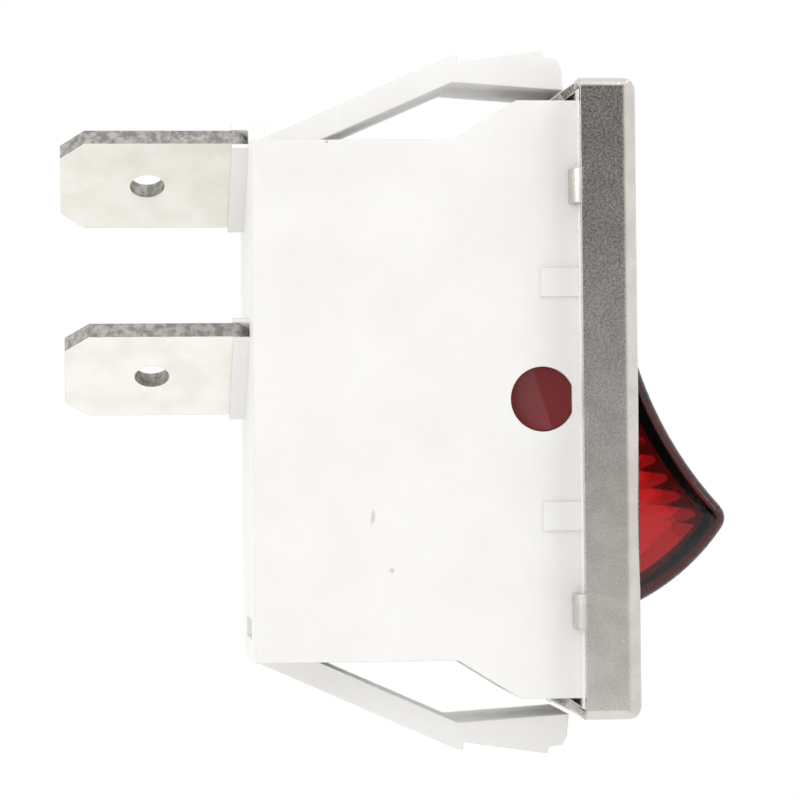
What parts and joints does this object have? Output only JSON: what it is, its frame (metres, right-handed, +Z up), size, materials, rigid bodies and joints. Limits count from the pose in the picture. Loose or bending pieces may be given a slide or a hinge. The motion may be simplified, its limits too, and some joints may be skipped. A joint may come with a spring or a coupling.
{
  "type": "panel rocker switch",
  "caption": "Snap-in panel rocker switch with a translucent red rocker, metal bezel, white moulded body, latch arms and flat blade terminals.",
  "frame": {"origin": "middle of the panel's front face inside the cut-out, where the bezel's crimp tabs seat", "axes": "+Z up the long side, -Y out of the panel to the user, X along the rocker's pivot"},
  "size_m": [0.0138, 0.0315, 0.0334],
  "materials": {
    "white_nylon": "satin, fine-grained moulded nylon",
    "nickel_plated_steel": "bright nickel plate with fine scratches",
    "translucent_red": "clear red, glossy, prism ribs inside",
    "ivory_acetal": "satin",
    "spring_steel": "drawn wire",
    "copper_alloy": "stamped, lightly dulled",
    "silver": "soft satin silver",
    "tinned_brass": "matt tin plate, lightly grained"
  },
  "bodies": {
    "body": {"housing": "white_nylon", "bezel": "nickel_plated_steel", "line_terminal": "tinned_brass", "common_terminal": "tinned_brass", "fixed_contact": "silver"},
    "rocker": {"rocker": "translucent_red", "plunger_spring": "spring_steel"},
    "plunger": {"plunger": "ivory_acetal"},
    "blade": {"contact_blade": "copper_alloy", "moving_contact": "silver"}
  },
  "joints": [
    {"name": "rocker_hinge", "type": "hinge", "parent": "body", "child": "rocker", "pos_m": [0, 0.0013, 0], "axis": [1, 0, 0], "range_deg": [0, 36]},
    {"name": "plunger_slide", "type": "slide", "parent": "rocker", "child": "plunger", "axis": [0, 0.9511, -0.309], "range_m": [0, 0.0007], "stiffness_N_per_m": 400, "springref_m": 0.001, "deforming": ["plunger_spring"]},
    {"name": "blade_hinge", "type": "hinge", "parent": "body", "child": "blade", "pos_m": [0, 0.00985, 0], "axis": [1, 0, 0], "range_deg": [-20.1, 0.1]}
  ],
  "couplings": [
    {"joint": "blade_hinge", "follows": "rocker_hinge", "ratio": -0.55556}
  ]
}
